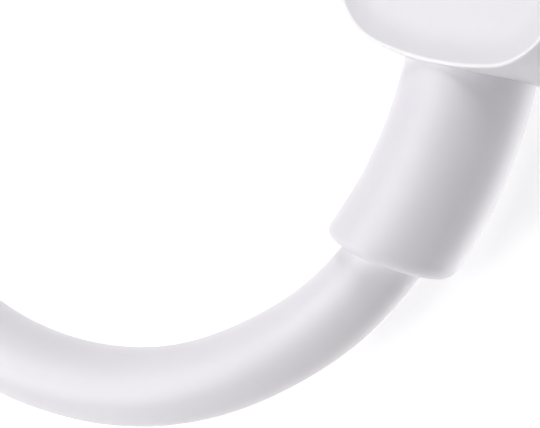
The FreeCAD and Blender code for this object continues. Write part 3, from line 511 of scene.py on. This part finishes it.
def make_tip(side, place):
    """The deep-drawn steel shell, with a rounded lip."""
    outer = SHELL_HEIGHT / 2
    inner = outer - SHELL_WALL
    middle = (outer + inner) / 2
    rear = HOUSING_LENGTH - SHELL_HOLD
    lip = HOUSING_LENGTH + TIP_REACH - SHELL_LIP
    stations = [(rear, inner), (rear, outer)]
    stations += [(y, outer) for y in spaced(rear, lip, SHELL_ROWS)[1:]]
    for a in spaced(0, math.pi, SHELL_LIP_ROWS):
        radius = middle + SHELL_WALL / 2 * math.cos(a)
        stations.append((lip + SHELL_LIP * math.sin(a), radius))
    stations.append((lip, inner))
    stations.append((rear, inner))
    points = []
    for y, radius in stations:
        points += [(x, y, z) for x, z in obround(radius, SHELL_SIDE_POINTS)]
    tip = make_mesh(f"{side}_tip", points, ring_faces(len(stations), SHELL_SIDE_POINTS * 4), place)
    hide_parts(f"{side}_plug_shell")
    return tip


# Materials

# The middle part of a noise's values, which is spread over the range asked for.
NOISE_LOW = 0.2
NOISE_HIGH = 0.8
# Moulded plastic: sizes of the changes of tone and of gloss, how far the roughness swings,
# and how far light goes into it in red, green and blue.
TONE_SIZE = 3 * MM
GLOSS_SIZE = 1.2 * MM
ROUGHNESS_SWING = 0.03
GRAIN_DETAIL = 3.0
COAT_ROUGHNESS = 0.4
LIGHT_DEPTH = 0.6 * MM
LIGHT_DEPTH_SHARES = (1.0, 0.9, 0.85)
# Drawn metal: the changes of tone, how much smoother and rougher it gets, and its marks, which
# are longest along one axis.
METAL_TONE_SIZE = 2 * MM
METAL_TONE = 0.03
METAL_SMOOTHER = 0.05
METAL_ROUGHER = 0.07
MARK_SIZE = 0.05 * MM
MARK_DEPTH = 0.6e-6
ALONG_Y = (1, 30, 1)
ALONG_X = (30, 1, 1)


def new_material(name):
    material = bpy.data.materials.new(name)
    material.use_nodes = True
    nodes = material.node_tree.nodes
    return material, nodes, material.node_tree.links, nodes["Principled BSDF"]


def add_noise(nodes, links, size, detail=2.0, stretch=(1, 1, 1)):
    """A noise whose features are about this many metres across, stretched along the axes."""
    coordinates = nodes.new("ShaderNodeTexCoord")
    mapping = nodes.new("ShaderNodeMapping")
    mapping.inputs["Scale"].default_value = [1 / s for s in stretch]
    noise = nodes.new("ShaderNodeTexNoise")
    noise.inputs["Scale"].default_value = 1 / size
    noise.inputs["Detail"].default_value = detail
    links.new(coordinates.outputs["Object"], mapping.inputs["Vector"])
    links.new(mapping.outputs["Vector"], noise.inputs["Vector"])
    return noise.outputs["Fac"]


def add_range(nodes, links, value, low, high):
    """The noise's value, spread smoothly from low to high."""
    ramp = nodes.new("ShaderNodeMapRange")
    ramp.interpolation_type = "SMOOTHSTEP"
    ramp.inputs["From Min"].default_value = NOISE_LOW
    ramp.inputs["From Max"].default_value = NOISE_HIGH
    ramp.inputs["To Min"].default_value = low
    ramp.inputs["To Max"].default_value = high
    links.new(value, ramp.inputs["Value"])
    return ramp.outputs["Result"]


def add_bump(nodes, links, shader, height, depth):
    """Fine relief this many metres deep."""
    bump = nodes.new("ShaderNodeBump")
    bump.inputs["Distance"].default_value = depth
    bump.inputs["Strength"].default_value = 1.0
    links.new(height, bump.inputs["Height"])
    links.new(bump.outputs["Normal"], shader.inputs["Normal"])


def add_tone(nodes, links, shader, colour, spread, size):
    """The colour, slightly lighter and darker from place to place."""
    mix = nodes.new("ShaderNodeMix")
    mix.data_type = "RGBA"
    mix.inputs[6].default_value = (*[c * (1 - spread) for c in colour], 1)
    mix.inputs[7].default_value = (*[min(1, c * (1 + spread)) for c in colour], 1)
    share = add_range(nodes, links, add_noise(nodes, links, size), 0, 1)
    links.new(share, mix.inputs[0])
    links.new(mix.outputs[2], shader.inputs["Base Color"])


def moulded(name, colour, roughness, grain, depth, tone, soft, coat):
    """Moulded or extruded plastic: a fine grain, an uneven sheen and a faint change of tone."""
    material, nodes, links, shader = new_material(name)
    add_tone(nodes, links, shader, colour, tone, TONE_SIZE)
    noise = add_noise(nodes, links, GLOSS_SIZE)
    low, high = roughness - ROUGHNESS_SWING, roughness + ROUGHNESS_SWING
    links.new(add_range(nodes, links, noise, low, high), shader.inputs["Roughness"])
    add_bump(nodes, links, shader, add_noise(nodes, links, grain, GRAIN_DETAIL), depth)
    shader.inputs["Coat Weight"].default_value = coat
    shader.inputs["Coat Roughness"].default_value = COAT_ROUGHNESS
    shader.inputs["Subsurface Weight"].default_value = soft
    shader.inputs["Subsurface Scale"].default_value = LIGHT_DEPTH
    shader.inputs["Subsurface Radius"].default_value = LIGHT_DEPTH_SHARES
    return material


def drawn_metal(name, colour, roughness, stretch):
    """Metal with fine marks along the way that it was drawn."""
    material, nodes, links, shader = new_material(name)
    add_tone(nodes, links, shader, colour, METAL_TONE, METAL_TONE_SIZE)
    shader.inputs["Metallic"].default_value = 1.0
    marks = add_noise(nodes, links, MARK_SIZE, stretch=stretch)
    low, high = roughness - METAL_SMOOTHER, roughness + METAL_ROUGHER
    links.new(add_range(nodes, links, marks, low, high), shader.inputs["Roughness"])
    add_bump(nodes, links, shader, marks, MARK_DEPTH)
    return material


# Plastics: colour, roughness, size and depth of the grain, swing of the tone, how soft the
# plastic is to light, and weight of the coat.
PLASTICS = {
    "white_housing": ((0.87, 0.853, 0.895), 0.36, 0.09 * MM, 1.2e-6, 0.012, 0.15, 0),
    # The rim's plastic is lighter than the housing's as a painted highlight along the rim's
    # rounding; its lower roughness and finer grain are real gloss.
    "white_rim": ((0.98, 0.965, 0.99), 0.21, 0.09 * MM, 0.4e-6, 0.012, 0.1, 0),
    "sleeve_white": ((0.84, 0.82, 0.865), 0.45, 0.08 * MM, 1.8e-6, 0.012, 0.2, 0.3),
    "cord_white": ((0.84, 0.82, 0.86), 0.45, 0.08 * MM, 1.6e-6, 0.012, 0.2, 0.3),
    "inner_plastic": ((0.8, 0.8, 0.79), 0.5, 0.07 * MM, 2.5e-6, 0.012, 0, 0),
    "insulator": ((0.045, 0.045, 0.05), 0.45, 0.05 * MM, 2e-6, 0.012, 0, 0),
    "board_green": ((0.03, 0.18, 0.08), 0.35, 0.2 * MM, 1.5e-6, 0.08, 0, 0),
    "chip_ceramic": ((0.42, 0.3, 0.2), 0.5, 0.05 * MM, 2e-6, 0.05, 0, 0),
    "wire_red": ((0.55, 0.03, 0.03), 0.4, 0.1 * MM, 1.5e-6, 0.03, 0, 0),
    "wire_black": ((0.02, 0.02, 0.02), 0.4, 0.1 * MM, 1.5e-6, 0.03, 0, 0),
    "wire_green": ((0.04, 0.32, 0.08), 0.4, 0.1 * MM, 1.5e-6, 0.03, 0, 0),
    "wire_white": ((0.8, 0.8, 0.78), 0.4, 0.1 * MM, 1.5e-6, 0.03, 0, 0),
    "wire_blue": ((0.04, 0.12, 0.5), 0.4, 0.1 * MM, 1.5e-6, 0.03, 0, 0),
}
# Metals: colour and roughness.
METALS = {
    "gold_contacts": ((0.76, 0.52, 0.2), 0.24),
    "shell_steel": ((0.5, 0.5, 0.51), 0.24),
    "spring_steel": ((0.48, 0.48, 0.49), 0.32),
    "can_steel": ((0.44, 0.44, 0.44), 0.38),
}


def make_materials():
    """The material of each slot, and the far plug's metals, whose marks run along X."""
    made = {name: moulded(name, *looks) for name, looks in PLASTICS.items()}
    for name, (colour, roughness) in METALS.items():
        made[name] = drawn_metal(name, colour, roughness, ALONG_Y)
        made[f"far_{name}"] = drawn_metal(f"far_{name}", colour, roughness, ALONG_X)
    return made


def dress(thing, *materials):
    """Gives the thing these materials, with each face's choice among them as it was."""
    faces = thing.data.polygons if thing.type == "MESH" else []
    chosen = [face.material_index for face in faces]
    thing.data.materials.clear()
    for material in materials:
        thing.data.materials.append(material)
    for face, index in zip(faces, chosen):
        face.material_index = min(index, len(materials) - 1)


def dress_nodes(materials):
    """The record's slot of each CAD node gives its material."""
    for part in frame["record"]["subparts"]:
        node, slot = part["node"], part["material_slot"]
        far_slot = f"far_{slot}"
        is_far = node.startswith("far_") and far_slot in materials
        dress(frame["nodes"][node], materials[far_slot if is_far else slot])


# Floor and light

FLOOR_SIZE = 3.0
FLOOR_DROP = 0.02 * MM
FLOOR_COLOUR = (0.9, 0.9, 0.9)
FLOOR_ROUGHNESS = 0.8
FLOOR_SHINE = 0.1
FLOOR_LIFT = 0.5
AMBIENT = 0.05


def seen_straight(nodes, links):
    """1 for what the camera, a mirror or glass sees straight away, and 0 for other light."""
    path = nodes.new("ShaderNodeLightPath")
    both = nodes.new("ShaderNodeMath")
    both.operation = "MAXIMUM"
    links.new(path.outputs["Is Glossy Ray"], both.inputs[0])
    links.new(path.outputs["Is Transmission Ray"], both.inputs[1])
    all_three = nodes.new("ShaderNodeMath")
    all_three.operation = "MAXIMUM"
    links.new(path.outputs["Is Camera Ray"], all_three.inputs[0])
    links.new(both.outputs[0], all_three.inputs[1])
    return all_three.outputs[0]


def make_floor():
    """A plain floor, lifted to white where it is seen, which keeps the object's shadow.

    Like a light table, it lets the lamp below it through.
    """
    half = FLOOR_SIZE / 2
    corners = [(-half, -half, 0), (half, -half, 0), (half, half, 0), (-half, half, 0)]
    mesh = bpy.data.meshes.new("floor")
    mesh.from_pydata(corners, [], [(0, 1, 2, 3)])
    floor = add_object("floor", mesh)
    floor.location.z = -FLOOR_DROP
    floor.visible_shadow = False
    material, nodes, links, shader = new_material("floor")
    shader.inputs["Base Color"].default_value = (*FLOOR_COLOUR, 1)
    shader.inputs["Roughness"].default_value = FLOOR_ROUGHNESS
    shader.inputs["Specular IOR Level"].default_value = FLOOR_SHINE
    shader.inputs["Emission Color"].default_value = (1, 1, 1, 1)
    lift = nodes.new("ShaderNodeMath")
    lift.operation = "MULTIPLY"
    lift.inputs[1].default_value = FLOOR_LIFT
    links.new(seen_straight(nodes, links), lift.inputs[0])
    links.new(lift.outputs[0], shader.inputs["Emission Strength"])
    dress(floor, material)


def make_world():
    """White where it is seen, and faint as light on the object."""
    world = bpy.data.worlds.new("studio")
    world.use_nodes = True
    nodes, links = world.node_tree.nodes, world.node_tree.links
    background = nodes["Background"]
    background.inputs["Color"].default_value = (1, 1, 1, 1)
    strength = nodes.new("ShaderNodeMapRange")
    strength.inputs["To Min"].default_value = AMBIENT
    strength.inputs["To Max"].default_value = 1.0
    links.new(seen_straight(nodes, links), strength.inputs["Value"])
    links.new(strength.outputs["Result"], background.inputs["Strength"])
    bpy.context.scene.world = world


LIGHT_DISTANCE = 0.5
# Round soft lamps: name, height and turn from +X as seen from the plug, in degrees, width in
# metres and power in watts. The lamp behind gives the housing's shade on the sleeve. The table
# lamp is below the floor and brightens the lower right edges.
LIGHTS = (
    ("above", 80, 240, 0.3, 0.48),
    ("left", 60, 180, 0.3, 0.72),
    ("front_left", 35, 225, 0.35, 1.0),
    ("behind", 35, 90, 0.22, 0.72),
    ("right_behind", 12, 45, 0.3, 0.25),
    ("right_front", 12, 315, 0.3, 0.32),
    ("table", -76, 335, 0.35, 0.95),
)


def make_lights():
    for name, height, turn, width, power in LIGHTS:
        height, turn = math.radians(height), math.radians(turn)
        flat = Vector((math.cos(turn), math.sin(turn), 0))
        way = flat * math.cos(height) + UP * math.sin(height)
        data = bpy.data.lights.new(name, "AREA")
        data.shape = "DISK"
        data.size = width
        data.energy = power
        lamp = add_object(name, data)
        aim = way.to_track_quat("Z", "Y").to_matrix().to_4x4()
        lamp.matrix_world = Matrix.Translation(LOOK_AT + way * LIGHT_DISTANCE) @ aim


# The whole scene

make_camera()
cord = make_cord()
materials = make_materials()
dress_nodes(materials)
pieces = {}
for side, place in PLUGS.items():
    pieces[f"{side}_cover"] = make_cover(side, place)
    pieces[f"{side}_sleeve"] = make_sleeve(side, place)
    pieces[f"{side}_tip"] = make_tip(side, place)
    dress(pieces[f"{side}_cover"], materials["white_housing"], materials["white_rim"])
    dress(pieces[f"{side}_sleeve"], materials["sleeve_white"])
dress(pieces["near_tip"], materials["shell_steel"])
dress(pieces["far_tip"], materials["far_shell_steel"])
dress(cord, materials["cord_white"])
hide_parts("cord_free", "cord_coil", "cord_tail", "near_cord_lead", "far_cord_lead")
for piece in [cord, *pieces.values()]:
    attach(piece, "root")

on_the_cord = [pieces["near_sleeve"], pieces["far_cover"], pieces["far_sleeve"], pieces["far_tip"]]
on_the_cord += [
    node for name, node in frame["nodes"].items()
    if name.startswith("far_") and not node.hide_render
]

make_floor()
make_world()
make_lights()
bpy.context.scene.view_settings.view_transform = "Standard"
